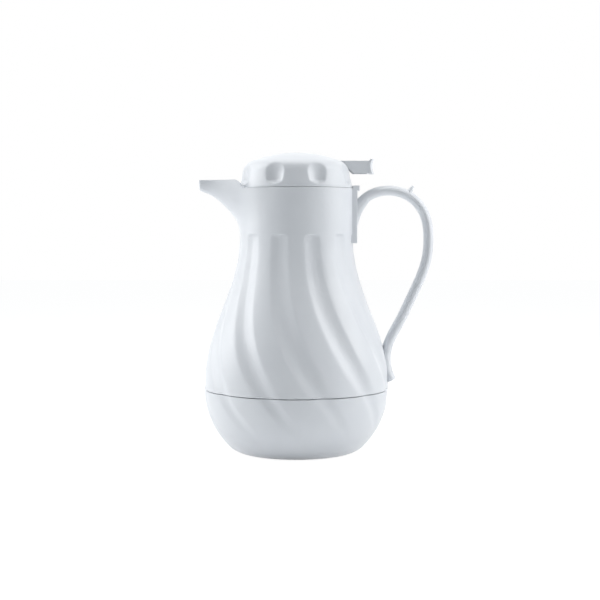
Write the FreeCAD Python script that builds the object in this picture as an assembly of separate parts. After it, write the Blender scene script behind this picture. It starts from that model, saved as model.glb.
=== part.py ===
import FreeCAD, Part
import math
import os
from FreeCAD import Vector

# Insulated pouring jug: a swirled double-walled body with a beak spout and a looped handle,
# and a screw lid whose thumb lever lifts a sprung pouring valve.
# Millimetres. Z is up, the origin is the centre of the foot on the table,
# the spout points along -X and the handle along +X.

# Body outline
belly_radius = 86.6
neck_radius = 53.2
seam_height = 59.5
rim_height = 247.0
neck_length = 47.0
bowl_depth = 80.0
belly_skew = 1.08
shell_wall = 5.0
seam_gap = 0.8
foot_round = 6.0
foot_recess = 2.5
foot_land = 6.0
base_floor = 3.5
tongue_thickness = 1.3
tongue_depth = 5.0
fit_clearance = 0.1

# Swirled flutes
flute_count = 11
flute_depth = 3.0
flute_top_depth = 1.5
flute_scoop_radius = 27.0
flute_top_drop = 42.5
flute_arch_height = 4.0
flute_deepest_rise = 35.5
flute_end_height = 17.0
flute_fade = 1.5
twist_angle = 32.1
twist_start_drop = 52.0

# Beak spout
spout_reach = 37.8
spout_lip_rise = 7.7
spout_root_drop = 33.0
spout_tip_depth = 10.2
spout_root_half_width = 27.5
spout_tip_half_width = 7.5
spout_wall = 3.0
spout_plan_power = 1.6
spout_floor_power = 1.7
spout_swoop = 14.0

# Spacing of the net that the swirled skin is drawn on
columns_per_flute = 12
belly_row_step = 5.6
arch_row_step = 1.0
spout_row_step = 2.6

# Inner vessel, foam and seals
liner_wall = 2.0
belly_foam = 8.0
neck_foam = 3.0
floor_foam = 8.0
liner_bowl_depth = 62.0
liner_flange = 2.0
seal_size = 2.0
plug_radius = 8.0
plug_head_radius = 11.0
plug_head = 1.5

# Handle
handle_width = 17.0
handle_thickness = 9.4
handle_foot_height = 67.0
handle_foot_sink = 1.6
handle_foot_flare = 1.5
plate_width = 22.0
plate_thickness = 4.3
plate_drop = 51.0
plate_rise = 2.6
plate_cap = 2.2
plate_cap_height = 4.5
spur_length = 10.0
spur_thickness = 5.6
spur_tip_share = 0.45
handle_columns = 16
handle_rows = 44

# Screws that hold the handle from inside
screw_radius = 1.75
screw_head_radius = 3.2
screw_head = 1.6
screw_hold = 2.4
screw_spacing = 12.0
upper_screw_drop = 43.0
lower_screw_height = 84.0
spot_face = 0.6

# Screw thread between lid and neck
thread_starts = 3
thread_lead = 32.0
lug_height = 3.0
lug_reach = 2.4
lug_span = 24.0
ramp_span = 50.0
thread_clearance = 0.4
lug_drop = 16.5

# Lid dome
lid_gap = 0.3
lid_radius = 52.7
lid_height = 33.1
lid_wall = 2.5
lid_bead = 2.2
lid_bead_step = 0.5
lid_draft = 0.16
crown_radius = 116.0
shoulder_radius = 13.0
crown_flat = 1.5
scallop_count = 8
scallop_half_width = 9.0
scallop_taper = 1.6
scallop_height = 18.0
scallop_depth = 3.6
scallop_rise = 12.4
columns_per_scallop = 16
dome_row_step = 1.7

# Lid stopper
stopper_gap = 2.8
stopper_wall = 2.5
stopper_flange = 2.5
plug_gap = 0.8
plug_wall = 4.0
plug_depth = 9.0
plug_floor = 3.0
step_height = 2.5
step_clearance = 3.5
valve_hole_radius = 18.0
seat_width = 2.5
seat_height = 1.0
window_half_width = 20.0
window_top_drop = 1.0
gasket_groove = 1.8
gasket_groove_height = 3.6
gasket_groove_rise = 4.2
gasket_clearance = 0.05

# Guide plate and pouring valve
deck_radius = 45.5
deck_thickness = 2.0
stem_radius = 3.0
stem_guide_wall = 2.4
stem_guide_height = 6.0
stem_clearance = 0.08
stem_seal_wall = 2.0
stem_seal_height = 2.6
collar_wall = 2.2
valve_disc_overlap = 2.0
valve_disc_thickness = 3.0
valve_gasket_overlap = 4.0
valve_gasket_thickness = 1.9
seat_clearance = 0.1
nut_flats = 10.0
nut_height = 4.0
stem_tail = 1.6
spring_radius = 9.5
spring_wire_radius = 0.6
spring_turns = 6
spring_rows_per_turn = 8

# Thumb lever
lever_pivot_x = 28.0
lever_pivot_rise = 14.7
link_drop = 1.5
pin_radius = 1.5
pin_clearance = 0.05
pivot_boss_radius = 4.2
link_boss_radius = 3.6
link_slot_play = 0.7
arm_gap = 1.2
arm_thickness = 3.0
ear_gap = 0.8
ear_thickness = 3.0
ear_radius = 4.0
thumb_half_width = 10.0
thumb_top_rise = 6.0
thumb_thickness = 3.0
thumb_inner_x = 20.0
thumb_wide_x = 34.0
thumb_end_reach = 15.0
skirt_start_x = 44.0
skirt_run = 9.0
skirt_depth = 8.5
skirt_wall = 2.0
lip_length = 5.5
lip_rise = 1.9
lip_drop = 0.3
lip_hollow = 1.8
lip_overhang = 0.5
slot_side_clearance = 0.6
slot_top_clearance = 0.7
slot_bottom_drop = 11.0
slot_inner_x = 30.0

# Sizes that follow from the ones above
neck_base_height = rim_height - neck_length
flute_top_height = rim_height - flute_top_drop
flute_deepest_height = seam_height + flute_deepest_rise
twist_start_height = rim_height - twist_start_drop
columns = flute_count * columns_per_flute
spout_tip_x = neck_radius + spout_reach
spout_top = rim_height + spout_lip_rise
spout_root_height = rim_height - spout_root_drop
bore_radius = neck_radius - shell_wall
base_inside_height = foot_recess + base_floor
liner_floor_height = base_inside_height + floor_foam
liner_neck_radius = bore_radius - neck_foam
liner_belly_radius = belly_radius - shell_wall - belly_foam
liner_bore_radius = liner_neck_radius - liner_wall
flange_top = spout_root_height
flange_bottom = flange_top - liner_flange
lid_base = rim_height + lid_gap
lid_top = lid_base + lid_height
dome_inner_radius = lid_radius - lid_bead_step - lid_wall
deck_bottom = lid_base + stopper_flange
deck_top = deck_bottom + deck_thickness
barrel_radius = bore_radius - stopper_gap
barrel_inner_radius = barrel_radius - stopper_wall
plug_outer_radius = liner_bore_radius - plug_gap
plug_bottom = flange_top - plug_depth
plug_top = plug_bottom + plug_floor
seat_top = plug_top + seat_height
step_bottom = flange_top + seal_size + step_clearance
step_top = step_bottom + step_height
groove_bottom = plug_bottom + gasket_groove_rise
groove_radius = plug_outer_radius - gasket_groove
gasket_bottom = seat_top + seat_clearance
disc_bottom = gasket_bottom + valve_gasket_thickness
disc_top = disc_bottom + valve_disc_thickness
disc_radius = valve_hole_radius + valve_disc_overlap
pivot_z = deck_top + lever_pivot_rise
link_z = pivot_z - link_drop
arm_inner_y = stem_radius + arm_gap
arm_outer_y = arm_inner_y + arm_thickness
ear_inner_y = arm_outer_y + ear_gap
ear_outer_y = ear_inner_y + ear_thickness
thumb_top = pivot_z + thumb_top_rise
thumb_bottom = thumb_top - thumb_thickness
skirt_bottom = thumb_bottom - skirt_depth
thumb_end_x = lid_radius + thumb_end_reach


# General shapes

def revolve(points):
    """A full turn about Z of a closed outline of (radius, height) points."""
    corners = [Vector(r, 0, z) for r, z in points]
    outline = Part.makePolygon(corners + corners[:1])
    return Part.Face(outline).revolve(Vector(0, 0, 0), Vector(0, 0, 1), 360)


def tube(inner, outer, low, high):
    """A ring with a rectangular section."""
    return revolve([(inner, low), (outer, low), (outer, high), (inner, high)])


def block(x_low, x_high, half_width, z_low, z_high):
    """A box centred on the XZ plane."""
    corner = Vector(x_low, -half_width, z_low)
    return Part.makeBox(x_high - x_low, 2 * half_width, z_high - z_low, corner)


def slab(wire, y_low, y_high):
    """A side outline in the XZ plane, made solid from y_low to y_high."""
    face = Part.Face(wire)
    face.translate(Vector(0, y_low, 0))
    return face.extrude(Vector(0, y_high - y_low, 0))


def side_polygon(points):
    """A closed outline of (x, z) points in the XZ plane."""
    corners = [Vector(x, 0, z) for x, z in points]
    return Part.makePolygon(corners + corners[:1])


def cross_bar(x, z, radius, half_length):
    """A round bar along Y."""
    return Part.makeCylinder(radius, 2 * half_length, Vector(x, -half_length, z), Vector(0, 1, 0))


def net_solid(rings):
    """A solid whose side is one smooth surface over closed rings of points, with flat ends."""
    inner_rows = len(rings) - 4
    count = len(rings[0])
    surface = Part.BSplineSurface()
    surface.buildFromPolesMultsKnots(
        rings,
        [4] + [1] * inner_rows + [4],
        [1] * (count + 1),
        list(range(inner_rows + 2)),
        list(range(count + 1)),
        False,
        True,
        3,
        3,
    )
    side = surface.toShape()
    rims = [edge for edge in side.Edges if edge.isClosed()]
    ends = [Part.Face(Part.Wire([edge])) for edge in rims]
    skin = Part.makeShell([side] + ends)
    skin.sewShape()
    solid = Part.makeSolid(skin)
    if solid.Volume < 0:
        solid.reverse()
    return solid


def net_swell(count):
    """How far out the ring's points stand so that the smooth surface has the stated radius."""
    return 3 / (2 + math.cos(2 * math.pi / count))


def spread(low, high, step):
    """Heights from low to high, evenly spaced by about one step."""
    count = max(round((high - low) / step), 1)
    return [low + (high - low) * k / count for k in range(count + 1)]


# Body outline

def belly_curve(z, neck, belly):
    """Radius between the belly at the seam and the straight neck."""
    t = (z - seam_height) / (neck_base_height - seam_height)
    t = min(max(t, 0), 1)
    return neck + (belly - neck) * 0.5 * (1 + math.cos(math.pi * t ** belly_skew))


def bowl_curve(z, belly, depth):
    """Radius of the bowl below the seam."""
    drop = (seam_height - z) / depth
    return belly * math.sqrt(1 - drop * drop)


def body_radius(z):
    """Outer radius of the body without its flutes."""
    if z > seam_height:
        return belly_curve(z, neck_radius, belly_radius)
    radius = bowl_curve(z, belly_radius, bowl_depth)
    if z < foot_round:
        into_round = 1 - z / foot_round
        radius -= foot_round * (1 - math.sqrt(1 - into_round * into_round))
    return radius


def void_radius(z):
    """Inside radius of the outer shells."""
    if z > seam_height:
        return belly_curve(z, bore_radius, belly_radius - shell_wall)
    return bowl_curve(z, belly_radius - shell_wall, bowl_depth - shell_wall)


def liner_radius(z):
    """Outside radius of the inner vessel."""
    if z > seam_height:
        return belly_curve(z, liner_neck_radius, liner_belly_radius)
    return bowl_curve(z, liner_belly_radius, liner_bowl_depth)


def liner_inside_radius(z):
    """Inside radius of the inner vessel."""
    if z > seam_height:
        return belly_curve(z, liner_bore_radius, liner_belly_radius - liner_wall)
    return bowl_curve(z, liner_belly_radius - liner_wall, liner_bowl_depth - liner_wall)


def round_solid(radius_at, low, high, neck):
    """A turned solid with a flat floor, a curved belly and a straight neck up to high."""
    outline = []
    for z in spread(low, seam_height, belly_row_step * 2):
        outline.append(Vector(radius_at(z), 0, z))
    for z in spread(seam_height, neck_base_height, belly_row_step * 2)[1:]:
        outline.append(Vector(radius_at(z), 0, z))
    side = Part.BSplineCurve()
    side.interpolate(outline)
    corners = [
        Vector(neck, 0, neck_base_height),
        Vector(neck, 0, high),
        Vector(0, 0, high),
        Vector(0, 0, low),
        Vector(radius_at(low), 0, low),
    ]
    edges = [side.toShape()]
    for start, end in zip(corners, corners[1:]):
        edges.append(Part.LineSegment(start, end).toShape())
    return Part.Face(Part.Wire(edges)).revolve(Vector(0, 0, 0), Vector(0, 0, 1), 360)


# Swirled skin

def twist(z):
    """How far the flutes have swung round by height z."""
    fall = max(twist_start_height - z, 0) / (twist_start_height - seam_height)
    return math.radians(twist_angle) * fall * fall


def flute_depth_at(z):
    """Depth of a flute along its middle, with an arched top and a fading tail."""
    if z >= flute_top_height or z <= flute_end_height:
        return 0.0
    if z < flute_deepest_height:
        t = (flute_deepest_height - z) / (flute_deepest_height - flute_end_height)
        return flute_depth * (1 - t ** flute_fade)
    t = (z - flute_deepest_height) / (flute_top_height - flute_deepest_height)
    depth = flute_depth + (flute_top_depth - flute_depth) * t
    into_arch = 1 - (flute_top_height - z) / flute_arch_height
    if into_arch > 0:
        depth *= math.sqrt(1 - into_arch * into_arch)
    return depth


def flute_cut(angle, z):
    """Depth of the swirl at an angle counted along the flutes, which start at the back."""
    pitch = 2 * math.pi / flute_count
    off = (angle - math.pi / 2 + pitch / 2) % pitch - pitch / 2
    radius = body_radius(z)
    across = radius * off
    scoop = across * across / 2 * (1 / flute_scoop_radius + 1 / radius)
    return max(flute_depth_at(z) - scoop, 0.0)


def spout_share(x):
    """0 at the neck, 1 at the tip of the spout."""
    return min(max((x - neck_radius) / spout_reach, 0), 1)


def spout_plan(x):
    """Half width of the spout at its top."""
    flare = (1 - spout_share(x)) ** spout_plan_power
    return spout_tip_half_width + (spout_root_half_width - spout_tip_half_width) * flare


def spout_underside(x):
    """Height of the spout's keel."""
    rise = spout_top - spout_tip_depth - spout_root_height
    return spout_root_height + rise * (1 - (1 - spout_share(x)) ** spout_floor_power)


def spout_half_width(x, z):
    """Half width of the spout at height z: half an ellipse in each cross-section."""
    if x > spout_tip_x:
        return 0.0
    down = max(spout_top - z, 0) / (spout_top - spout_underside(x))
    return spout_plan(x) * math.sqrt(max(1 - down * down, 0))


def spout_radius(angle, z):
    """Distance from the axis to the spout's side along one direction, or 0 beside the spout."""
    ahead = -math.cos(angle)
    aside = abs(math.sin(angle))
    near = neck_radius / 2
    far = spout_tip_x / max(ahead, 0.5) + 1
    if ahead < 0.5 or z <= spout_root_height or aside * near > spout_half_width(ahead * near, z):
        return 0.0
    while far - near > 0.001:
        middle = (near + far) / 2
        if aside * middle <= spout_half_width(ahead * middle, z):
            near = middle
        else:
            far = middle
    return near


def gather(z):
    """0 on the fluted body, 1 on the plain neck, where the net's columns crowd round the spout."""
    t = (z - flute_top_height - arch_row_step) / (spout_root_height - flute_top_height - arch_row_step)
    t = min(max(t, 0), 1)
    return 0.6 * t * t * (3 - 2 * t)


def skin_ring(z):
    """One ring of points of the swirled skin."""
    points = []
    for column in range(columns):
        along = 2 * math.pi * column / columns
        angle = along + twist(z)
        angle += gather(z) * math.sin(angle)
        body = (body_radius(z) - flute_cut(along, z)) * net_swell(columns)
        radius = max(body, spout_radius(angle, z))
        points.append(Vector(radius * math.cos(angle), radius * math.sin(angle), z))
    return points


def upper_skin():
    """Outside of the body above the seam, with the spout, as a full solid."""
    arch_low = flute_top_height - 2 * flute_arch_height
    arch_high = flute_top_height + 2 * arch_row_step
    heights = spread(seam_height + seam_gap / 2, arch_low, belly_row_step)
    heights += spread(arch_low, arch_high, arch_row_step)[1:]
    heights += spread(arch_high, spout_top + 2 * spout_row_step, spout_row_step)[1:]
    return net_solid([skin_ring(z) for z in heights])


def lower_skin():
    """Outside of the body below the seam, down to the foot, as a full solid."""
    round_steps = 6
    heights = []
    for step in range(round_steps):
        heights.append(foot_round * (1 - math.cos(math.pi / 2 * step / round_steps)))
    heights += spread(foot_round, seam_height - seam_gap / 2, belly_row_step)
    return net_solid([skin_ring(z) for z in heights])


# Screws for the handle

def screw_places():
    """Each handle screw as (seat x, y, z): two side by side on the neck and one on the belly."""
    upper_z = rim_height - upper_screw_drop
    side = screw_spacing / 2
    upper_x = math.sqrt(void_radius(upper_z) ** 2 - side ** 2) + spot_face
    lower_x = void_radius(lower_screw_height) + spot_face
    return [(upper_x, -side, upper_z), (upper_x, side, upper_z), (lower_x, 0, lower_screw_height)]


def along_x(radius, x_low, x_high, y, z):
    """A round bar along X."""
    return Part.makeCylinder(radius, x_high - x_low, Vector(x_low, y, z), Vector(1, 0, 0))


def screw_tip(seat_x, z):
    """Where a handle screw ends, inside the handle."""
    return seat_x + shell_wall + screw_hold


def handle_screws():
    screws = []
    for x, y, z in screw_places():
        head = along_x(screw_head_radius, x - screw_head, x, y, z)
        shank = along_x(screw_radius, x - screw_head / 2, screw_tip(x, z), y, z)
        screws.append(head.fuse(shank).removeSplitter())
    return Part.makeCompound(screws)


def screw_holes():
    """Clearance holes and flat seats for the handle screws."""
    holes = []
    for x, y, z in screw_places():
        seat_depth = screw_head + 2 * spot_face
        holes.append(along_x(screw_head_radius + spot_face, x - seat_depth, x, y, z))
        hole_end = screw_tip(x, z) + fit_clearance
        holes.append(along_x(screw_radius + fit_clearance, x - screw_head, hole_end, y, z))
    return holes


# Outer shells

def thread_ridge(inner, outer, low, high, start_angle, span):
    """A helical ridge: low and high are its underside and top at the middle of its span."""
    steps = max(round(span / 6), 2)
    sections = []
    for step in range(steps + 1):
        turn = span * (step / steps - 0.5)
        rise = thread_lead * turn / 360
        angle = math.radians(start_angle + turn)
        corners = []
        for radius, z in ((inner, low), (outer, low), (outer, high), (inner, high)):
            corners.append(Vector(radius * math.cos(angle), radius * math.sin(angle), z + rise))
        sections.append(Part.makePolygon(corners + corners[:1]))
    return Part.makeLoft(sections, True, True)


def thread_angles():
    return [360 * start / thread_starts for start in range(thread_starts)]


def thread_ramps():
    """Ridges inside the neck that the lid's lugs turn under."""
    low = rim_height - lug_drop + lug_height + thread_clearance
    inner = barrel_radius + thread_clearance
    outer = bore_radius + shell_wall / 2
    ramps = []
    for angle in thread_angles():
        ramps.append(thread_ridge(inner, outer, low, low + lug_height, angle, ramp_span))
    return ramps


def spout_trough():
    """The open channel inside the spout, from inside the neck to past the tip."""
    root_x = bore_radius * 0.75
    sections = []
    for x in spread(root_x, spout_tip_x + spout_wall * 2, spout_reach / 7):
        half = spout_plan(x) - spout_wall
        floor = spout_underside(x) + spout_wall
        top = spout_top + spout_lip_rise * 2
        ellipse = Part.Ellipse(Vector(-x, 0, floor), Vector(-x, half, spout_top), Vector(-x, 0, spout_top))
        keel = Part.ArcOfEllipse(ellipse, -math.pi / 2, math.pi / 2)
        ends = [keel.StartPoint, keel.EndPoint]
        lift = Vector(0, 0, top - spout_top)
        edges = [
            keel.toShape(),
            Part.LineSegment(ends[1], ends[1] + lift).toShape(),
            Part.LineSegment(ends[1] + lift, ends[0] + lift).toShape(),
            Part.LineSegment(ends[0] + lift, ends[0]).toShape(),
        ]
        sections.append(Part.Wire(edges))
    return Part.makeLoft(sections, True, False)


def rim_trim():
    """What is cut off above the rim and above the spout's lip."""
    far = belly_radius * 2
    swoop_end = neck_radius + spout_swoop / 3
    swoop_start = swoop_end - spout_swoop
    swoop = Part.BezierCurve()
    swoop.setPoles([
        Vector(-swoop_start, 0, rim_height),
        Vector(-swoop_start - spout_swoop / 2, 0, rim_height),
        Vector(-swoop_end + spout_swoop / 2, 0, spout_top),
        Vector(-swoop_end, 0, spout_top),
    ])
    corners = [
        Vector(-swoop_end, 0, spout_top),
        Vector(-far, 0, spout_top),
        Vector(-far, 0, spout_top + far),
        Vector(far, 0, spout_top + far),
        Vector(far, 0, rim_height),
        Vector(-swoop_start, 0, rim_height),
    ]
    edges = [swoop.toShape()]
    for start, end in zip(corners, corners[1:]):
        edges.append(Part.LineSegment(start, end).toShape())
    return slab(Part.Wire(edges), -far, far)


def lid_room():
    """Space that the lid takes up above the rim."""
    radius = lid_radius + 3 * lid_gap
    return Part.makeCylinder(radius, spout_lip_rise * 2, Vector(0, 0, rim_height))


def tongue():
    """The ring below the upper shell that centres it in the base."""
    inner = belly_radius - shell_wall
    return tube(inner, inner + tongue_thickness, seam_height - tongue_depth, seam_height + seam_gap / 2)


def tongue_rebate():
    """Room for the tongue inside the base's edge."""
    outer = belly_radius - shell_wall + tongue_thickness + fit_clearance
    bottom = seam_height - tongue_depth - fit_clearance
    return Part.makeCylinder(outer, tongue_depth + seam_height, Vector(0, 0, bottom))


def upper_shell(skin, void):
    shell = skin.cut([rim_trim(), lid_room()])
    shell = shell.cut(void)
    shell = shell.cut(spout_trough())
    shell = shell.fuse(thread_ramps() + [tongue()])
    return shell.cut(screw_holes())


def base_shell(skin, void):
    recess_radius = body_radius(0) - foot_land
    recess = Part.makeCylinder(recess_radius, foot_recess, Vector(0, 0, 0))
    filling = Part.makeCylinder(plug_radius, base_inside_height)
    return skin.cut([void, tongue_rebate(), recess, filling])


def fill_plug():
    top = base_inside_height
    head_bottom = foot_recess - plug_head
    bore = plug_radius - fit_clearance
    return revolve([
        (0, head_bottom),
        (plug_head_radius, head_bottom),
        (plug_head_radius, foot_recess),
        (bore, foot_recess),
        (bore, top),
        (0, top),
    ])


# Inner vessel

def inner_liner(outside):
    inside = round_solid(
        liner_inside_radius, liner_floor_height + liner_wall, flange_top, liner_bore_radius
    )
    flange_radius = bore_radius - fit_clearance
    flange = tube(liner_bore_radius, flange_radius, flange_bottom, flange_top)
    return outside.cut(inside).fuse(flange).removeSplitter()


def liner_seal():
    outer = bore_radius - fit_clearance
    return tube(outer - seal_size, outer, flange_top, flange_top + seal_size)


def insulation_foam(void, liner_outside, screws):
    below_flange = Part.makeCylinder(belly_radius, flange_bottom)
    return void.common(below_flange).cut(liner_outside).cut(screws)


# Handle

def handle_path():
    """Centre line of the handle: out of the neck, over the crest and down to the belly."""
    upper = [(4.0, -18.0), (16.3, -5.6), (37.0, -1.8), (55.0, -8.4), (66.3, -21.6), (71.0, -43.3), (69.1, -67.0)]
    lower = [(40.7, 82.9), (24.5, 64.0), (12.0, 50.0)]
    points = []
    for out, rise in upper:
        points.append(Vector(neck_radius + out, 0, rim_height + rise))
    for out, rise in lower:
        z = seam_height + rise
        points.append(Vector(body_radius(z) + out, 0, z))
    foot_top = seam_height + lower[-1][1]
    for z in spread(foot_top, handle_foot_height, (foot_top - handle_foot_height) / 3)[1:]:
        points.append(Vector(body_radius(z) + handle_foot_sink, 0, z))
    points[-1] += Vector(handle_foot_flare, 0, 0)
    path = Part.BSplineCurve()
    path.interpolate(points)
    return path


def oval_ring(centre, direction, width, thickness):
    """A ring of points round a bar whose width lies along Y."""
    across = Vector(0, 1, 0)
    normal = direction.cross(across).normalize()
    swell = net_swell(handle_columns)
    points = []
    for column in range(handle_columns):
        angle = 2 * math.pi * column / handle_columns
        y_part = across * (swell * width / 2 * math.cos(angle))
        points.append(centre + y_part + normal * (swell * thickness / 2 * math.sin(angle)))
    return points


def bar_along(path, rows, width, thickness):
    """A smooth oval bar that follows a curve."""
    rings = []
    for row in range(rows + 1):
        t = path.FirstParameter + (path.LastParameter - path.FirstParameter) * row / rows
        rings.append(oval_ring(path.value(t), Vector(*path.tangent(t)[0]), width, thickness))
    return net_solid(rings)


def thumb_spur(path):
    """The small thumb stop that leans outward on the handle's crest."""
    crest = path.parameter(Vector(neck_radius + 51.0, 0, rim_height - 6.0))
    root = path.value(crest)
    lean = Vector(0.55, 0, 0.835)
    rings = []
    for share in (0, 0.2, 0.4, 0.6, 0.8, 0.95, 1.0):
        size = 1 - (1 - spur_tip_share) * share ** 2
        centre = root + lean * (spur_length * share)
        rings.append(oval_ring(centre, lean, handle_width * 0.8 * size, spur_thickness * size))
    return net_solid(rings)


def handle(skin):
    path = handle_path()
    bar = bar_along(path, handle_rows, handle_width, handle_thickness)
    plate_high = rim_height + plate_rise
    plate = tube(bore_radius, neck_radius + plate_thickness, rim_height - plate_drop, plate_high)
    cap = tube(bore_radius, neck_radius + plate_thickness + plate_cap, plate_high - plate_cap_height, plate_high)
    strip = block(0, belly_radius, plate_width / 2, 0, rim_height * 2)
    grip = bar.fuse([plate.fuse(cap).common(strip), thumb_spur(path)])
    return grip.cut(skin).cut([lid_room()] + screw_holes())


# Lid

def dome_outline(wall):
    """The dome's outside, or with a wall its inside: (point, outward normal) from the base to the crown."""
    side = lid_radius - lid_bead_step - wall
    crown = crown_radius - wall
    shoulder = shoulder_radius - wall
    crown_centre = Vector(0, 0, lid_top - crown_radius)
    draft_start = lid_base + lid_bead
    out = Vector(1, 0, lid_draft).normalize()
    low = draft_start
    high = lid_top
    while high - low > 0.0001:
        middle = (low + high) / 2
        tangent_point = Vector(side - lid_draft * (middle - draft_start), 0, middle)
        shoulder_centre = tangent_point - out * shoulder
        if (shoulder_centre - crown_centre).Length < crown - shoulder:
            low = middle
        else:
            high = middle
    outline = []
    for z in spread(lid_base, tangent_point.z, dome_row_step)[:-1]:
        drawn_in = lid_draft * max(z - draft_start, 0)
        outline.append((Vector(side - drawn_in, 0, z), out))
    wall_angle = math.atan2(out.z, out.x)
    rise = shoulder_centre - crown_centre
    crown_angle = math.atan2(rise.z, rise.x)
    for angle in spread(wall_angle, crown_angle, dome_row_step / shoulder)[:-1]:
        normal = Vector(math.cos(angle), 0, math.sin(angle))
        outline.append((shoulder_centre + normal * shoulder, normal))
    for angle in spread(crown_angle, math.acos(crown_flat / crown), 2 * dome_row_step / crown):
        normal = Vector(math.cos(angle), 0, math.sin(angle))
        outline.append((crown_centre + normal * crown, normal))
    return outline


def scallop_cut(angle, radius, z):
    """Depth of the finger hollows: round-topped dishes that narrow towards the rim."""
    pitch = 2 * math.pi / scallop_count
    off = angle % pitch - pitch / 2
    up = (z - lid_base - scallop_rise) / (scallop_height / 2)
    half_width = scallop_half_width + scallop_taper * up
    across = radius * off / half_width
    return scallop_depth * max(1 - across * across - up * up, 0)


def dome_net(wall):
    """The scalloped dome as a full solid."""
    count = scallop_count * columns_per_scallop
    swell = net_swell(count)
    rings = []
    for point, normal in dome_outline(wall):
        ring = []
        for column in range(count):
            angle = 2 * math.pi * column / count
            cut = scallop_cut(angle, point.x, point.z) if normal.z < normal.x else 0
            radius = (point.x - normal.x * cut) * swell
            z = point.z - normal.z * cut
            ring.append(Vector(radius * math.cos(angle), radius * math.sin(angle), z))
        rings.append(ring)
    return net_solid(rings)


def lid_dome():
    bead = tube(dome_inner_radius, lid_radius, lid_base, lid_base + lid_bead)
    slot = block(
        slot_inner_x,
        lid_radius * 2,
        thumb_half_width + slot_side_clearance,
        pivot_z - slot_bottom_drop,
        thumb_top + slot_top_clearance,
    )
    return dome_net(0).fuse(bead).cut(dome_net(lid_wall)).cut(slot)


def lid_stopper():
    flange_radius = dome_inner_radius - fit_clearance
    bore = plug_outer_radius - plug_wall
    body = revolve([
        (valve_hole_radius, plug_bottom),
        (plug_outer_radius, plug_bottom),
        (plug_outer_radius, groove_bottom),
        (groove_radius, groove_bottom),
        (groove_radius, groove_bottom + gasket_groove_height),
        (plug_outer_radius, groove_bottom + gasket_groove_height),
        (plug_outer_radius, step_bottom),
        (barrel_radius, step_bottom),
        (barrel_radius, lid_base),
        (flange_radius, lid_base),
        (flange_radius, deck_bottom),
        (barrel_inner_radius, deck_bottom),
        (barrel_inner_radius, step_top),
        (bore, step_top),
        (bore, plug_top),
        (valve_hole_radius + seat_width, plug_top),
        (valve_hole_radius + seat_width, seat_top),
        (valve_hole_radius, seat_top),
    ])
    window = block(-bore_radius, -barrel_radius / 2, window_half_width, step_top, rim_height - window_top_drop)
    low = rim_height - lug_drop
    lugs = []
    for angle in thread_angles():
        inner = barrel_radius - stopper_wall / 2
        lugs.append(thread_ridge(inner, barrel_radius + lug_reach, low, low + lug_height, angle, lug_span))
    return body.cut(window).fuse(lugs)


def lid_gasket():
    inner = groove_radius + gasket_clearance
    outer = liner_bore_radius - gasket_clearance
    middle = groove_bottom + gasket_groove_height / 2
    return Part.makeTorus((inner + outer) / 2, (outer - inner) / 2, Vector(0, 0, middle))


# Guide plate and pouring valve

def seal_radius():
    """Outer radius of the wiper ring round the stem."""
    return stem_radius + stem_clearance + stem_seal_wall


def guide_plate():
    hole = stem_radius + stem_clearance
    guide = hole + stem_guide_wall
    collar = seal_radius() + collar_wall
    collar_bottom = deck_bottom - stem_seal_height
    plate = revolve([
        (seal_radius(), collar_bottom),
        (collar, collar_bottom),
        (collar, deck_bottom),
        (deck_radius, deck_bottom),
        (deck_radius, deck_top),
        (guide, deck_top),
        (guide, deck_top + stem_guide_height),
        (hole, deck_top + stem_guide_height),
        (hole, deck_bottom),
        (seal_radius(), deck_bottom),
    ])
    ears = []
    for low in (ear_inner_y, -ear_outer_y):
        post = side_polygon([
            (lever_pivot_x - ear_radius * 1.5, deck_bottom + deck_thickness / 2),
            (lever_pivot_x + ear_radius * 1.5, deck_bottom + deck_thickness / 2),
            (lever_pivot_x + ear_radius, pivot_z),
            (lever_pivot_x - ear_radius, pivot_z),
        ])
        eye = Part.makeCylinder(
            ear_radius, ear_thickness, Vector(lever_pivot_x, low, pivot_z), Vector(0, 1, 0)
        )
        ears.append(slab(post, low, low + ear_thickness).fuse(eye))
    pin_hole = cross_bar(lever_pivot_x, pivot_z, pin_radius, ear_outer_y * 2)
    return plate.fuse(ears).cut(pin_hole)


def stem_seal():
    return tube(stem_radius + stem_clearance, seal_radius(), deck_bottom - stem_seal_height, deck_bottom)


def lever_pin():
    return cross_bar(lever_pivot_x, pivot_z, pin_radius, ear_outer_y)


def link_pin():
    return cross_bar(0, link_z, pin_radius, arm_outer_y)


def valve_stem():
    bottom = gasket_bottom - nut_height - stem_tail
    top = link_z + link_boss_radius
    stem = Part.makeCylinder(stem_radius, top - bottom, Vector(0, 0, bottom))
    return stem.cut(cross_bar(0, link_z, pin_radius, stem_radius * 2))


def valve_disc():
    return tube(stem_radius, disc_radius, disc_bottom, disc_top)


def valve_gasket():
    return tube(stem_radius, valve_hole_radius + valve_gasket_overlap, gasket_bottom, disc_bottom)


def valve_nut():
    corners = []
    for index in range(6):
        angle = math.pi / 3 * index
        radius = nut_flats / 2 / math.cos(math.pi / 6)
        corners.append(Vector(radius * math.cos(angle), radius * math.sin(angle), gasket_bottom - nut_height))
    blank = Part.Face(Part.makePolygon(corners + corners[:1])).extrude(Vector(0, 0, nut_height))
    return blank.cut(Part.makeCylinder(stem_radius, gasket_bottom))


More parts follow.
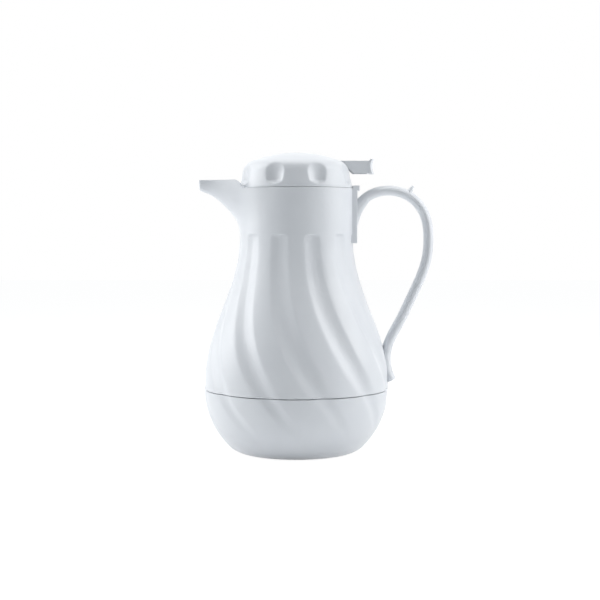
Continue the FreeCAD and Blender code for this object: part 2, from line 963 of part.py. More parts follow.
def valve_spring():
    """A coil between the valve disc and the guide plate."""
    low = disc_top + spring_wire_radius + fit_clearance
    high = deck_bottom - spring_wire_radius - fit_clearance
    columns_round_wire = 6
    count = spring_turns * spring_rows_per_turn
    slope = (high - low) / (2 * math.pi * spring_turns * spring_radius)
    swell = net_swell(columns_round_wire)
    rings = []
    for row in range(count + 1):
        angle = 2 * math.pi * row / spring_rows_per_turn
        out = Vector(math.cos(angle), math.sin(angle), 0)
        ahead = Vector(-math.sin(angle), math.cos(angle), slope).normalize()
        up = out.cross(ahead).normalize()
        centre = out * (spring_radius * net_swell(spring_rows_per_turn))
        centre += Vector(0, 0, low + (high - low) * row / count)
        points = []
        for column in range(columns_round_wire):
            turn = 2 * math.pi * column / columns_round_wire
            wire = out * math.cos(turn) + up * math.sin(turn)
            points.append(centre + wire * (spring_wire_radius * swell))
        rings.append(points)
    return net_solid(rings)


# Thumb lever

def lever_arms():
    """The two arms inside the lid, from the link pin past the hinge pin to the thumb plate."""
    outline = side_polygon([
        (0, link_z - link_boss_radius),
        (lever_pivot_x, pivot_z - pivot_boss_radius),
        (thumb_wide_x, thumb_bottom),
        (thumb_wide_x, thumb_top),
        (thumb_inner_x, thumb_top),
        (0, link_z + link_boss_radius),
    ])
    arms = []
    for low in (arm_inner_y, -arm_outer_y):
        arm = slab(outline, low, low + arm_thickness)
        for x, z, radius in ((0, link_z, link_boss_radius), (lever_pivot_x, pivot_z, pivot_boss_radius)):
            boss = Part.makeCylinder(radius, arm_thickness, Vector(x, low, z), Vector(0, 1, 0))
            arm = arm.fuse(boss)
        arms.append(arm)
    return arms


def thumb_lip():
    """The flared end of the lever, hollowed for the thumb."""
    low = skirt_bottom - lip_drop
    high = thumb_top + lip_rise
    outer_x = thumb_end_x + lip_length
    hollow = Part.Arc(
        Vector(outer_x, 0, low), Vector(outer_x - lip_hollow, 0, (low + high) / 2), Vector(outer_x, 0, high)
    )
    corners = [
        Vector(outer_x, 0, high),
        Vector(outer_x - lip_hollow, 0, high),
        Vector(thumb_end_x, 0, thumb_top),
        Vector(thumb_end_x, 0, skirt_bottom),
        Vector(outer_x - lip_hollow, 0, low),
        Vector(outer_x, 0, low),
    ]
    edges = [hollow.toShape()]
    for start, end in zip(corners, corners[1:]):
        edges.append(Part.LineSegment(start, end).toShape())
    half = thumb_half_width + lip_overhang
    return slab(Part.Wire(edges), -half, half)


def lever():
    skirt_end = skirt_start_x + skirt_run
    outline = side_polygon([
        (thumb_wide_x, thumb_bottom),
        (skirt_start_x, thumb_bottom),
        (skirt_end, skirt_bottom),
        (thumb_end_x, skirt_bottom),
        (thumb_end_x, thumb_top),
        (thumb_wide_x, thumb_top),
    ])
    thumb = slab(outline, -thumb_half_width, thumb_half_width)
    pocket = block(
        thumb_wide_x, thumb_end_x - skirt_wall, thumb_half_width - skirt_wall, skirt_bottom, thumb_bottom
    )
    bridge = block(thumb_inner_x, thumb_wide_x, arm_outer_y, thumb_bottom, thumb_top)
    body = thumb.cut(pocket).fuse(lever_arms() + [bridge, thumb_lip()])
    hole = pin_radius + pin_clearance
    pivot = cross_bar(lever_pivot_x, pivot_z, hole, thumb_half_width)
    slot = block(-link_slot_play, link_slot_play, thumb_half_width, link_z - hole, link_z + hole)
    for x in (-link_slot_play, link_slot_play):
        slot = slot.fuse(cross_bar(x, link_z, hole, thumb_half_width))
    return body.cut(pivot).cut(slot).removeSplitter()


# All pieces, each written to its own file

def main():
    skin = upper_skin()
    void = round_solid(void_radius, base_inside_height, rim_height * 2, bore_radius)
    liner_outside = round_solid(liner_radius, liner_floor_height, flange_top, liner_neck_radius)
    screws = handle_screws()
    pieces = {
        "upper_shell": upper_shell(skin, void),
        "base_shell": base_shell(lower_skin(), void),
        "fill_plug": fill_plug(),
        "inner_liner": inner_liner(liner_outside),
        "liner_seal": liner_seal(),
        "insulation_foam": insulation_foam(void, liner_outside, screws),
        "handle": handle(skin),
        "handle_screws": screws,
        "lid_dome": lid_dome(),
        "lid_stopper": lid_stopper(),
        "lid_gasket": lid_gasket(),
        "guide_plate": guide_plate(),
        "stem_seal": stem_seal(),
        "lever": lever(),
        "lever_pin": lever_pin(),
        "link_pin": link_pin(),
        "valve_stem": valve_stem(),
        "valve_disc": valve_disc(),
        "valve_gasket": valve_gasket(),
        "valve_nut": valve_nut(),
        "valve_spring": valve_spring(),
    }
    os.makedirs("parts", exist_ok=True)
    for name, shape in pieces.items():
        box = shape.BoundBox
        print(name, shape.isValid(), len(shape.Solids), round(shape.Volume / 1000, 2), "cm3", box)
        shape.exportStep(os.path.join("parts", name + ".step"))


main()
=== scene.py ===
"""Studio picture of a swirl-bodied insulated jug with a thumb-lever lid.

Metres, in the part's own frame: Z is up, the spout points along -X and the handle along +X.
"""
import math

import bmesh
import bpy
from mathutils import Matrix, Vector


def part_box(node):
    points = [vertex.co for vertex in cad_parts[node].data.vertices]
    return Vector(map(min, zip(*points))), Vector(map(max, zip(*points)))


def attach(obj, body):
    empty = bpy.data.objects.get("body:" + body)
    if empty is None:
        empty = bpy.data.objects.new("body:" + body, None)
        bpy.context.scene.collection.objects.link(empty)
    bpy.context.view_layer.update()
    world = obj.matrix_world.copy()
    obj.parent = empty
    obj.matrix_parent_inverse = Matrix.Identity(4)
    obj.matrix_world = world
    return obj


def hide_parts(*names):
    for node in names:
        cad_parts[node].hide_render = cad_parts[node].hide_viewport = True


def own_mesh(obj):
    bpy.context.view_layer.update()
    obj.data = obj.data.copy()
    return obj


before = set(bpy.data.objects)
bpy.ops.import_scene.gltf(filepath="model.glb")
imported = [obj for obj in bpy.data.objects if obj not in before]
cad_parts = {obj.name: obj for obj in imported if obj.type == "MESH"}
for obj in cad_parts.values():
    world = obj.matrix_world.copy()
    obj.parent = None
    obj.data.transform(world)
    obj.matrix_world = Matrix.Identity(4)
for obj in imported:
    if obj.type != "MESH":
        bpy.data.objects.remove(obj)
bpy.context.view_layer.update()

# Camera, from the photograph's perspective
IMAGE_SIZE = 600
METRES_PER_PIXEL = 0.000943
AXIS_PIXEL_X = 296.3
TABLE_PIXEL_Y = 451.0
CAMERA_DISTANCE = 1.164
CAMERA_HEIGHT = 0.208

# Room and floor
BACKGROUND_WHITE = 1.0
ROOM_TINT = (0.86, 0.945, 1.0)
ROOM_FRONT = 0.094
ROOM_BACK = 0.5
FLOOR_SIZE = 8.0
FLOOR_TINT = (0.95, 0.955, 0.96)
FLOOR_WHITE = 1.17
FLOOR_GLOW_SHARE = 0.8

# Soft boxes: place, width and height, power
LIGHT_AIM = Vector((0, 0, 0.15))
SIDE_BOX_SIZE = (0.8, 1.1)
LEFT_BOX_PLACE = Vector((-1.0, 0.1, 0.65))
LEFT_BOX_POWER = 8.8
RIGHT_BOX_PLACE = Vector((1.0, -0.12, 0.65))
RIGHT_BOX_POWER = 7.6
TOP_BOX_SIZE = (1.0, 0.8)
TOP_BOX_PLACE = Vector((0, 0.1, 1.2))
TOP_BOX_POWER = 5.1

# Colours and roughness of the finishes
SHELL_LIGHT = (0.80, 0.82, 0.85)
SHELL_DARK = (0.77, 0.79, 0.825)
SHELL_ROUGHNESS = (0.3, 0.38)
GRIP_ROUGHNESS = (0.32, 0.4)
INNER_LIGHT = (0.76, 0.77, 0.78)
INNER_DARK = (0.72, 0.73, 0.74)
INNER_ROUGHNESS = (0.36, 0.46)
SEAL_LIGHT = (0.72, 0.71, 0.68)
SEAL_DARK = (0.66, 0.65, 0.62)
SEAL_ROUGHNESS = (0.55, 0.7)
STEEL_LIGHT = (0.63, 0.63, 0.64)
STEEL_DARK = (0.56, 0.56, 0.57)
STEEL_ROUGHNESS = (0.3, 0.42)
FOAM_LIGHT = (0.82, 0.74, 0.52)
FOAM_DARK = (0.72, 0.63, 0.42)
FOAM_ROUGHNESS = (0.85, 0.95)
PLASTIC_IOR = 1.49

# Noise textures: the two values that most of the noise lies between, and levels of detail
NOISE_LOW = 0.3
NOISE_HIGH = 0.7
MOTTLE_DETAIL = 3.0
POLISH_DETAIL = 4.0
GRAIN_DETAIL = 2.0
GRAIN_STRENGTH = 0.5

# Limits for reading and editing meshes
WELD = 1e-6
FLAT_ANGLE = math.radians(1)
SHARP_ANGLE = math.radians(35)
CREASE_ANGLE = math.radians(50)

# Lever: a lip that is round in plan, and soft edges outside the lid
LIP_LENGTH = 0.0054
LIP_SAG = 0.0024
LIP_STEPS = 12
LEVER_OUTSIDE = 0.026
LEVER_EDGE_ROUND = 0.0005
LEVER_EDGE_STEPS = 3
ROUND_PROFILE = 0.5

# Neck and spout of the shell
NECK_RADIUS = 0.0532
NECK_EASE_LOW = 0.205
NECK_EASE_HIGH = 0.2075
SPOUT_REACH = 0.0378
SPOUT_TIP = NECK_RADIUS + SPOUT_REACH
SPOUT_TOP = 0.2547
SPOUT_ROOT_HEIGHT = 0.214
SPOUT_ROOT_AHEAD = 0.02
SPOUT_ROOT_HALF_WIDTH = 0.0435
SPOUT_TIP_HALF_WIDTH = 0.0075
SPOUT_TIP_DEPTH = 0.0102
SPOUT_KEEL_POWER = 1.7
SPOUT_BLEND = 0.006
SPOUT_TIP_EASE = 0.008

# Dome of the lid
LID_BASE = 0.2473
LID_HEIGHT = 0.0331
DOME_RADIUS = 0.0522
DOME_WALL = 0.0025
DOME_DRAFT = 0.16
DRAFT_RISE = 0.0022
CROWN_RADIUS = 0.116
SHOULDER_RADIUS = 0.013
SLOT_HALF_WIDTH = 0.0106
SLOT_EASE = 0.003

# Finger hollows of the dome
HOLLOW_COUNT = 8
HOLLOW_DEPTH = 0.0032
HOLLOW_TOP_HALF_WIDTH = 0.0104
HOLLOW_FOOT_HALF_WIDTH = 0.0076
HOLLOW_TOP_RISE = 0.0222
HOLLOW_FOOT_RISE = 0.0029
HOLLOW_TOP_ROUND = 0.0095
HOLLOW_FOOT_ROUND = 0.0045
HOLLOW_EDGE = 0.2

# Root of the handle: distance out from the neck, height, width and thickness along its middle
ROOT_STATIONS = [
    (0.0008, 0.2040, 0.0160, 0.0046),
    (0.0014, 0.2130, 0.0168, 0.0064),
    (0.0042, 0.2266, 0.0172, 0.0096),
    (0.0098, 0.2346, 0.0164, 0.0086),
    (0.0160, 0.2408, 0.0140, 0.0066),
]
ROOT_ROWS_PER_STATION = 8
ROOT_SIDES = 28

# Bead along the seam
SEAM_BAND = 0.0033
BEAD_RADIUS = 0.0007
BEAD_PROUD = 0.0002
BEAD_SIDES = 10
ANGLE_DIGITS = 5


# Materials

def new_material(name):
    """A node material and its Principled shader."""
    material = bpy.data.materials.new(name)
    material.use_nodes = True
    nodes = material.node_tree.nodes
    shader = next(node for node in nodes if node.type == "BSDF_PRINCIPLED")
    return material, shader


def add_noise(material, cells, detail):
    """A noise texture in the part's own coordinates, with so many cells per metre."""
    tree = material.node_tree
    place = tree.nodes.new("ShaderNodeTexCoord")
    noise = tree.nodes.new("ShaderNodeTexNoise")
    noise.inputs["Scale"].default_value = cells
    noise.inputs["Detail"].default_value = detail
    tree.links.new(place.outputs["Object"], noise.inputs["Vector"])
    return noise


def mottle(material, shader, light, dark, cells):
    """Slow drift of the base colour between two close tones."""
    tree = material.node_tree
    noise = add_noise(material, cells, MOTTLE_DETAIL)
    ramp = tree.nodes.new("ShaderNodeValToRGB")
    low, high = ramp.color_ramp.elements
    low.position = NOISE_LOW
    low.color = (*dark, 1)
    high.position = NOISE_HIGH
    high.color = (*light, 1)
    tree.links.new(noise.outputs["Fac"], ramp.inputs["Fac"])
    tree.links.new(ramp.outputs["Color"], shader.inputs["Base Color"])


def vary_roughness(material, shader, roughness, cells):
    """Polish that changes a little from place to place, between two values of roughness."""
    tree = material.node_tree
    noise = add_noise(material, cells, POLISH_DETAIL)
    spread = tree.nodes.new("ShaderNodeMapRange")
    spread.inputs["From Min"].default_value = NOISE_LOW
    spread.inputs["From Max"].default_value = NOISE_HIGH
    spread.inputs["To Min"].default_value = roughness[0]
    spread.inputs["To Max"].default_value = roughness[1]
    tree.links.new(noise.outputs["Fac"], spread.inputs["Value"])
    tree.links.new(spread.outputs["Result"], shader.inputs["Roughness"])


def grain(material, shader, cells, depth):
    """Fine surface grain as bump, with its depth in metres."""
    tree = material.node_tree
    noise = add_noise(material, cells, GRAIN_DETAIL)
    bump = tree.nodes.new("ShaderNodeBump")
    bump.inputs["Strength"].default_value = GRAIN_STRENGTH
    bump.inputs["Distance"].default_value = depth
    tree.links.new(noise.outputs["Fac"], bump.inputs["Height"])
    tree.links.new(bump.outputs["Normal"], shader.inputs["Normal"])


def moulded_plastic(name, light, dark, roughness):
    """Satin injection-moulded plastic."""
    material, shader = new_material(name)
    mottle(material, shader, light, dark, cells=22.0)
    vary_roughness(material, shader, roughness, cells=140.0)
    grain(material, shader, cells=2200.0, depth=0.00002)
    shader.inputs["IOR"].default_value = PLASTIC_IOR
    return material


def rubber(name):
    """Soft silicone of the seals."""
    material, shader = new_material(name)
    mottle(material, shader, SEAL_LIGHT, SEAL_DARK, cells=60.0)
    vary_roughness(material, shader, SEAL_ROUGHNESS, cells=300.0)
    grain(material, shader, cells=1500.0, depth=0.00004)
    return material


def steel(name):
    """Drawn stainless steel of pins, screws and spring."""
    material, shader = new_material(name)
    mottle(material, shader, STEEL_LIGHT, STEEL_DARK, cells=90.0)
    vary_roughness(material, shader, STEEL_ROUGHNESS, cells=700.0)
    shader.inputs["Metallic"].default_value = 1.0
    return material


def foam(name):
    """Rigid insulating foam with open cells."""
    material, shader = new_material(name)
    mottle(material, shader, FOAM_LIGHT, FOAM_DARK, cells=240.0)
    vary_roughness(material, shader, FOAM_ROUGHNESS, cells=300.0)
    grain(material, shader, cells=900.0, depth=0.0003)
    return material


def dress(material, *names):
    """Gives CAD nodes a finish."""
    for name in names:
        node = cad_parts[name]
        node.data.materials.clear()
        node.data.materials.append(material)


# Shapes and pieces

def welded_copy(name):
    """A CAD node's shape for editing, with the corners that its faces share joined up."""
    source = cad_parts[name].data
    shape = bmesh.new()
    corners = [shape.verts.new(vertex.co) for vertex in source.vertices]
    for face in source.polygons:
        shape.faces.new([corners[index] for index in face.vertices])
    bmesh.ops.remove_doubles(shape, verts=shape.verts, dist=WELD)
    shape.normal_update()
    return shape


def smooth_region(shape, seed):
    """Corners of the smooth surface round one face, out to its sharp edges."""
    found = {seed}
    front = [seed]
    while front:
        for edge in front.pop().edges:
            if len(edge.link_faces) == 2 and edge.calc_face_angle() < CREASE_ANGLE:
                fresh = [face for face in edge.link_faces if face not in found]
                found.update(fresh)
                front.extend(fresh)
    return {vertex for face in found for vertex in face.verts}


def even_triangles(shape, corners):
    """Redraws the diagonals among some corners, so that no thin face is left between them."""
    faces = [face for face in shape.faces if corners.issuperset(face.verts)]
    paired = [edge for edge in shape.edges if len(edge.link_faces) == 2]
    edges = [edge for edge in paired if corners.issuperset(edge.verts)]
    bmesh.ops.beautify_fill(shape, faces=faces, edges=edges, method="ANGLE")


def add_ring(shape, centre, first, second, sides):
    """Corners of an ellipse, from its centre and its two half axes."""
    ring = []
    for side in range(sides):
        angle = 2 * math.pi * side / sides
        ring.append(shape.verts.new(centre + first * math.cos(angle) + second * math.sin(angle)))
    return ring


def join_rings(shape, ring, following):
    """A band of faces between two rings."""
    for side in range(len(ring)):
        after = (side + 1) % len(ring)
        shape.faces.new((ring[side], ring[after], following[after], following[side]))


def soft_max(first, second, blend):
    """The larger of two values, rounded off where they differ by less than the blend."""
    overlap = max(blend - abs(first - second), 0)
    return max(first, second) + overlap * overlap / (4 * blend)


def add_piece(name, shape, body, material):
    """Turns a shape into a visible piece that moves with a CAD body."""
    mesh = bpy.data.meshes.new(name)
    shape.to_mesh(mesh)
    shape.free()
    mesh.shade_smooth()
    mesh.set_sharp_from_angle(angle=SHARP_ANGLE)
    mesh.materials.append(material)
    piece = bpy.data.objects.new(name, mesh)
    bpy.context.collection.objects.link(piece)
    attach(piece, body)
    return piece


def even_normals(piece):
    """Shades a piece by its larger faces, so that thin ones leave no ripples."""
    weights = piece.modifiers.new("even_normals", "WEIGHTED_NORMAL")
    weights.keep_sharp = True


# Lever

def sharp_edges(shape, least_x):
    """Edges beyond a given x where two faces meet at an angle."""
    found = []
    for edge in shape.edges:
        if len(edge.link_faces) == 2 and edge.calc_face_angle() > SHARP_ANGLE:
            if min(vertex.co.x for vertex in edge.verts) > least_x:
                found.append(edge)
    return found


def rounded_lever(material):
    """The thumb lever with a lip that is round in plan and with soft edges."""
    shape = welded_copy("lever")
    bmesh.ops.dissolve_limit(shape, angle_limit=FLAT_ANGLE, verts=shape.verts, edges=shape.edges)
    low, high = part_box("lever")
    for step in range(1, LIP_STEPS):
        place = low.lerp(high, step / LIP_STEPS)
        everything = shape.verts[:] + shape.edges[:] + shape.faces[:]
        bmesh.ops.bisect_plane(shape, geom=everything, plane_co=place, plane_no=(0, 1, 0))
    for vertex in shape.verts:
        if vertex.co.x > high.x - LIP_LENGTH:
            vertex.co.x -= LIP_SAG * (vertex.co.y / high.y) ** 2
    shape.normal_update()
    bmesh.ops.bevel(
        shape,
        geom=sharp_edges(shape, high.x - LEVER_OUTSIDE),
        offset=LEVER_EDGE_ROUND,
        segments=LEVER_EDGE_STEPS,
        profile=ROUND_PROFILE,
        affect="EDGES",
        clamp_overlap=True,
    )
    piece = add_piece("thumb_lever", shape, "lever", material)
    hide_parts("lever")


# Shell with a spout that grows smoothly out of the neck

def spout_half_width(ahead, z):
    """Half width of the spout at a distance ahead of the axis: each cross-section is half an ellipse."""
    if ahead > SPOUT_TIP:
        return 0.0
    behind_tip = SPOUT_TIP - ahead
    rise = SPOUT_TOP - SPOUT_TIP_DEPTH - SPOUT_ROOT_HEIGHT
    keel = SPOUT_ROOT_HEIGHT + rise * (1 - (behind_tip / SPOUT_REACH) ** SPOUT_KEEL_POWER)
    down = max(SPOUT_TOP - z, 0) / (SPOUT_TOP - keel)
    back = min(behind_tip / (SPOUT_TIP - SPOUT_ROOT_AHEAD), 1)
    flare = back * back * (3 - 2 * back)
    plan = SPOUT_TIP_HALF_WIDTH + (SPOUT_ROOT_HALF_WIDTH - SPOUT_TIP_HALF_WIDTH) * flare
    return plan * math.sqrt(max(1 - down * down, 0))


def spout_radius(angle, z):
    """Distance from the axis to the spout's side in one direction, or 0 well beside the spout."""
    ahead = -math.cos(angle)
    aside = abs(math.sin(angle))
    near = NECK_RADIUS / 2
    far = SPOUT_TIP * 2
    if ahead <= 0 or aside * near > spout_half_width(ahead * near, z):
        return 0.0
    while far - near > WELD:
        middle = (near + far) / 2
        if aside * middle <= spout_half_width(ahead * middle, z):
            near = middle
        else:
            far = middle
    return near


def pouring_shell(material):
    """The upper shell with a plain neck and a spout that grows smoothly out of it."""
    shape = welded_copy("upper_shell")
    belly = [face for face in shape.faces if face.calc_center_median().z < NECK_EASE_LOW / 2]
    outermost = max(belly, key=lambda face: face.normal.xy.length * face.calc_center_median().xy.length)
    skin = smooth_region(shape, outermost)
    for vertex in skin:
        above_flutes = (vertex.co.z - NECK_EASE_LOW) / (NECK_EASE_HIGH - NECK_EASE_LOW)
        share = min(above_flutes, (vertex.co.x + SPOUT_TIP) / SPOUT_TIP_EASE, 1)
        if share > 0:
            spout = spout_radius(math.atan2(vertex.co.y, vertex.co.x), vertex.co.z)
            goal = soft_max(spout, NECK_RADIUS, SPOUT_BLEND)
            vertex.co.xy *= 1 + share * (goal / vertex.co.xy.length - 1)
    even_triangles(shape, {vertex for vertex in skin if vertex.co.z > NECK_EASE_LOW})
    piece = add_piece("pouring_shell", shape, "jug", material)
    even_normals(piece)
    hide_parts("upper_shell")


# Dome with finger hollows, worked out in the plane of radius and height

def shoulder_centre(side_out, crown_centre):
    """Centre of the round that joins the dome's leaning side to its crown."""
    side_up = Vector((-side_out.y, side_out.x))
    side_foot = Vector((DOME_RADIUS, LID_BASE + DRAFT_RISE))
    start = side_foot - side_out * SHOULDER_RADIUS - crown_centre
    along = start.dot(side_up)
    reach = CROWN_RADIUS - SHOULDER_RADIUS
    climb = math.sqrt(along * along + reach * reach - start.length_squared) - along
    return crown_centre + start + side_up * climb


def hollow_depth(angle, radius, z):
    """Depth of the finger hollows: petals with a round top that narrow towards the rim."""
    pitch = 2 * math.pi / HOLLOW_COUNT
    off = angle % pitch - pitch / 2
    above_foot = z - LID_BASE - HOLLOW_FOOT_RISE
    below_top = LID_BASE + HOLLOW_TOP_RISE - z
    share = above_foot / (HOLLOW_TOP_RISE - HOLLOW_FOOT_RISE)
    half_width = HOLLOW_FOOT_HALF_WIDTH + (HOLLOW_TOP_HALF_WIDTH - HOLLOW_FOOT_HALF_WIDTH) * share
    across = radius * off / half_width
    into_top = max(1 - below_top / HOLLOW_TOP_ROUND, 0)
    into_foot = max(1 - above_foot / HOLLOW_FOOT_ROUND, 0)
    inside = 1 - across * across - into_top * into_top - into_foot * into_foot
    return HOLLOW_DEPTH * soft_max(inside, 0, HOLLOW_EDGE)


def sink_hollows(corners, wall):
    """Moves one skin of the dome onto its plain outline less the wall, and sinks the hollows in it."""
    side_out = Vector((1, DOME_DRAFT)).normalized()
    crown_centre = Vector((0, LID_BASE + LID_HEIGHT - CROWN_RADIUS))
    centre = shoulder_centre(side_out, crown_centre)
    crown_side = centre - crown_centre
    crown_tilt = math.atan2(crown_side.y, crown_side.x)
    for vertex in corners:
        section = Vector((vertex.co.xy.length, vertex.co.z)) - centre
        tilt = math.atan2(section.y, section.x)
        if tilt > crown_tilt:
            continue
        facing = section.normalized() if tilt > math.atan(DOME_DRAFT) else side_out
        foot = centre + section + facing * (SHOULDER_RADIUS - section.dot(facing))
        depth = hollow_depth(math.atan2(vertex.co.y, vertex.co.x), foot.x, foot.y)
        if vertex.co.x > 0:
            depth *= min(max((abs(vertex.co.y) - SLOT_HALF_WIDTH) / SLOT_EASE, 0), 1)
        goal = foot - facing * (wall + depth)
        vertex.co.xy *= goal.x / vertex.co.xy.length
        vertex.co.z = goal.y


def scalloped_dome(material):
    """The lid's dome with petal-shaped finger hollows."""
    shape = welded_copy("lid_dome")
    outer_top = max(shape.faces, key=lambda face: face.calc_center_median().z + face.normal.z)
    inner_top = max(shape.faces, key=lambda face: face.calc_center_median().z - face.normal.z)
    outer = smooth_region(shape, outer_top)
    inner = smooth_region(shape, inner_top) - outer
    inner_above_foot = [vertex for vertex in inner if vertex.co.z > LID_BASE + HOLLOW_FOOT_RISE]
    sink_hollows(outer, 0)
    sink_hollows(inner_above_foot, DOME_WALL)
    piece = add_piece("scalloped_dome", shape, "lid", material)
    even_normals(piece)
    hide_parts("lid_dome")


# Handle

def root_station(place):
    """Out, height, width and thickness at a place along the root: a smooth curve through its stations."""
    last = len(ROOT_STATIONS) - 1
    first = min(int(place), last - 1)
    share = place - first
    four = [ROOT_STATIONS[min(max(first + step, 0), last)] for step in (-1, 0, 1, 2)]
    values = []
    for before, start, end, beyond in zip(*four):
        cubic = 3 * (start - end) + beyond - before
        square = 2 * before - 5 * start + 4 * end - beyond
        bend = cubic * share ** 3 + square * share ** 2 + (end - before) * share
        values.append(start + bend / 2)
    return values


def handle_root(material):
    """The swelling with which the handle runs down into its plate on the neck."""
    shape = bmesh.new()
    rows = (len(ROOT_STATIONS) - 1) * ROOT_ROWS_PER_STATION
    stations = [root_station(row / ROOT_ROWS_PER_STATION) for row in range(rows + 1)]
    across = Vector((0, 1, 0))
    rings = []
    for row, (out, height, width, thickness) in enumerate(stations):
        before = stations[max(row - 1, 0)]
        after = stations[min(row + 1, rows)]
        along = Vector((after[0] - before[0], 0, after[1] - before[1])).normalized()
        centre = Vector((NECK_RADIUS + out, 0, height))
        half_width = across * (width / 2)
        half_thickness = along.cross(across) * (thickness / 2)
        rings.append(add_ring(shape, centre, half_width, half_thickness, ROOT_SIDES))
    for ring, following in zip(rings, rings[1:]):
        join_rings(shape, ring, following)
    shape.faces.new(rings[0])
    shape.faces.new(rings[-1])
    bmesh.ops.recalc_face_normals(shape, faces=shape.faces)
    add_piece("handle_root", shape, "jug", material)


# Valve

def valve_coil(material):
    """The valve's spring as a piece with a mesh of its own that rides with the lid; the real spring
    shortens as the valve lifts.
    """
    piece = add_piece("valve_coil", welded_copy("valve_spring"), "lid", material)
    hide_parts("valve_spring")
    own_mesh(piece)


# Seam

def seam_outline():
    """Points of the upper shell's outer edge at the seam, in order round the axis."""
    points = [vertex.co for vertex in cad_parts["upper_shell"].data.vertices]
    reach = max(point.xy.length for point in points if abs(point.x) < point.xy.length / 2)
    skin = [point for point in points if reach - SEAM_BAND < point.xy.length < reach + WELD]
    edge_z = min(point.z for point in skin)
    edge = {}
    for point in skin:
        if point.z < edge_z + WELD:
            edge[round(math.atan2(point.y, point.x), ANGLE_DIGITS)] = point
    return [edge[angle] for angle in sorted(edge)]


def seam_bead(material):
    """The rounded lower edge of the upper shell, just above the seam."""
    shape = bmesh.new()
    up = Vector((0, 0, BEAD_RADIUS))
    rings = []
    for point in seam_outline():
        out = Vector((point.x, point.y, 0)).normalized()
        centre = point - out * (BEAD_RADIUS - BEAD_PROUD) + up
        rings.append(add_ring(shape, centre, out * BEAD_RADIUS, up, BEAD_SIDES))
    for ring, following in zip(rings, rings[1:] + rings[:1]):
        join_rings(shape, ring, following)
    bmesh.ops.recalc_face_normals(shape, faces=shape.faces)
    add_piece("seam_bead", shape, "jug", material)


# Finishes and pieces of the whole part

def dress_all():
    """Gives every node its finish, or the piece that stands in for it."""
    body = moulded_plastic("body_white", SHELL_LIGHT, SHELL_DARK, SHELL_ROUGHNESS)
    lid = moulded_plastic("lid_white", SHELL_LIGHT, SHELL_DARK, SHELL_ROUGHNESS)
    handle = moulded_plastic("handle_white", SHELL_LIGHT, SHELL_DARK, GRIP_ROUGHNESS)
    lever = moulded_plastic("lever_white", SHELL_LIGHT, SHELL_DARK, GRIP_ROUGHNESS)
    inner = moulded_plastic("inner_plastic", INNER_LIGHT, INNER_DARK, INNER_ROUGHNESS)
    seal = rubber("seal_rubber")
    metal = steel("steel")
    dress(body, "base_shell")
    dress(handle, "handle")
    pouring_shell(body)
    seam_bead(body)
    handle_root(handle)
    scalloped_dome(lid)
    rounded_lever(lever)
    dress(inner, "inner_liner", "lid_stopper", "guide_plate", "valve_disc", "fill_plug")
    dress(seal, "liner_seal", "lid_gasket", "stem_seal", "valve_gasket")
    dress(metal, "handle_screws", "lever_pin", "link_pin", "valve_stem", "valve_nut")
    valve_coil(metal)
    dress(foam("foam"), "insulation_foam")


# Studio

def seen_ray(tree):
    """1 for what the camera sees, also in a mirror or through glass, and 0 for light on the part."""
    path = tree.nodes.new("ShaderNodeLightPath")
    seen = path.outputs["Is Camera Ray"]
    for kind in ("Is Glossy Ray", "Is Transmission Ray"):
        either = tree.nodes.new("ShaderNodeMath")
        either.operation = "MAXIMUM"
        tree.links.new(seen, either.inputs[0])
        tree.links.new(path.outputs[kind], either.inputs[1])
        seen = either.outputs["Value"]
    return seen


def room_light(tree):
    """Brightness of the room by direction: dim on the camera's side (y is -1), brighter behind the part."""
    place = tree.nodes.new("ShaderNodeTexCoord")
    split = tree.nodes.new("ShaderNodeSeparateXYZ")
    fade = tree.nodes.new("ShaderNodeMapRange")
    fade.inputs["From Min"].default_value = -1.0
    fade.inputs["From Max"].default_value = 1.0
    fade.inputs["To Min"].default_value = ROOM_FRONT
    fade.inputs["To Max"].default_value = ROOM_BACK
    tree.links.new(place.outputs["Generated"], split.inputs["Vector"])
    tree.links.new(split.outputs["Y"], fade.inputs["Value"])
    return fade.outputs["Result"]


def white_world():
    """Looks white, and lights the part as a dimmer room."""
    world = bpy.data.worlds.new("studio_world")
    world.use_nodes = True
    tree = world.node_tree
    room = tree.nodes["Background"]
    room.inputs["Color"].default_value = (*ROOM_TINT, 1)
    tree.links.new(room_light(tree), room.inputs["Strength"])
    backdrop = tree.nodes.new("ShaderNodeBackground")
    backdrop.inputs["Color"].default_value = (1, 1, 1, 1)
    backdrop.inputs["Strength"].default_value = BACKGROUND_WHITE
    mix = tree.nodes.new("ShaderNodeMixShader")
    tree.links.new(seen_ray(tree), mix.inputs["Fac"])
    tree.links.new(room.outputs["Background"], mix.inputs[1])
    tree.links.new(backdrop.outputs["Background"], mix.inputs[2])
    tree.links.new(mix.outputs["Shader"], tree.nodes["World Output"].inputs["Surface"])
    bpy.context.scene.world = world


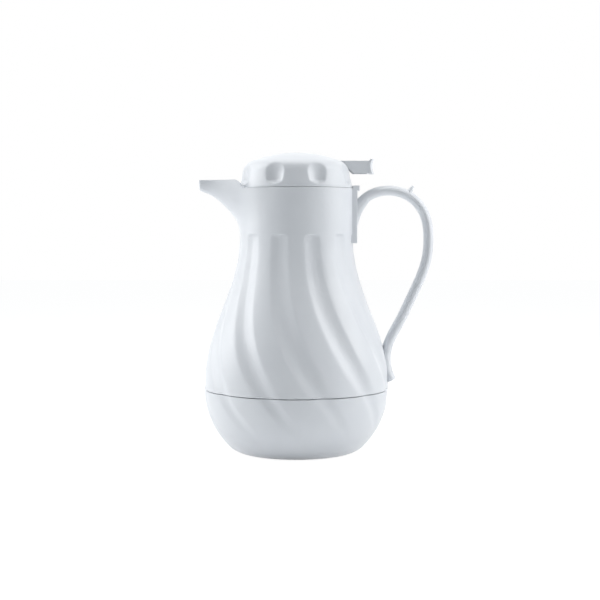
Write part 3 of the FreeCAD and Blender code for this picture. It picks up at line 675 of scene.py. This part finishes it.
def floor_material():
    """White sweep: looks white, with a trace of the part's shadow."""
    material = bpy.data.materials.new("floor_white")
    material.use_nodes = True
    tree = material.node_tree
    tree.nodes.clear()
    matt = tree.nodes.new("ShaderNodeBsdfDiffuse")
    matt.inputs["Color"].default_value = (*FLOOR_TINT, 1)
    glow = tree.nodes.new("ShaderNodeEmission")
    glow.inputs["Color"].default_value = (1, 1, 1, 1)
    glow.inputs["Strength"].default_value = FLOOR_WHITE
    share = tree.nodes.new("ShaderNodeMath")
    share.operation = "MULTIPLY"
    share.inputs[1].default_value = FLOOR_GLOW_SHARE
    tree.links.new(seen_ray(tree), share.inputs[0])
    mix = tree.nodes.new("ShaderNodeMixShader")
    tree.links.new(share.outputs["Value"], mix.inputs["Fac"])
    tree.links.new(matt.outputs["BSDF"], mix.inputs[1])
    tree.links.new(glow.outputs["Emission"], mix.inputs[2])
    surface = tree.nodes.new("ShaderNodeOutputMaterial")
    tree.links.new(mix.outputs["Shader"], surface.inputs["Surface"])
    return material


def make_floor():
    """The floor that the jug stands on."""
    bpy.ops.mesh.primitive_plane_add(size=FLOOR_SIZE, location=(0, 0, 0))
    floor = bpy.context.object
    floor.name = "floor"
    floor.data.materials.append(floor_material())


def point_at(seat, place, aim):
    """Puts a lamp or the camera at a place and turns it to face another."""
    seat.location = place
    seat.rotation_euler = (aim - place).to_track_quat("-Z", "Y").to_euler()
    bpy.context.collection.objects.link(seat)


def soft_box(name, place, size, power):
    """A rectangular soft light."""
    light = bpy.data.lights.new(name, "AREA")
    light.shape = "RECTANGLE"
    light.size, light.size_y = size
    light.energy = power
    point_at(bpy.data.objects.new(name, light), place, LIGHT_AIM)


def make_lights():
    """A soft box on each side, and one overhead."""
    soft_box("left_box", LEFT_BOX_PLACE, SIDE_BOX_SIZE, LEFT_BOX_POWER)
    soft_box("right_box", RIGHT_BOX_PLACE, SIDE_BOX_SIZE, RIGHT_BOX_POWER)
    soft_box("top_box", TOP_BOX_PLACE, TOP_BOX_SIZE, TOP_BOX_POWER)


def make_camera():
    """The photograph's camera, aimed at what lies in the middle of the picture."""
    middle = IMAGE_SIZE / 2
    aim = Vector((middle - AXIS_PIXEL_X, 0, TABLE_PIXEL_Y - middle)) * METRES_PER_PIXEL
    place = Vector((aim.x, -CAMERA_DISTANCE, CAMERA_HEIGHT))
    camera = bpy.data.cameras.new("camera")
    camera.angle = 2 * math.atan(middle * METRES_PER_PIXEL / (aim - place).length)
    seat = bpy.data.objects.new("camera", camera)
    point_at(seat, place, aim)
    bpy.context.scene.camera = seat


bpy.context.scene.view_settings.view_transform = "Standard"
dress_all()
white_world()
make_floor()
make_lights()
make_camera()
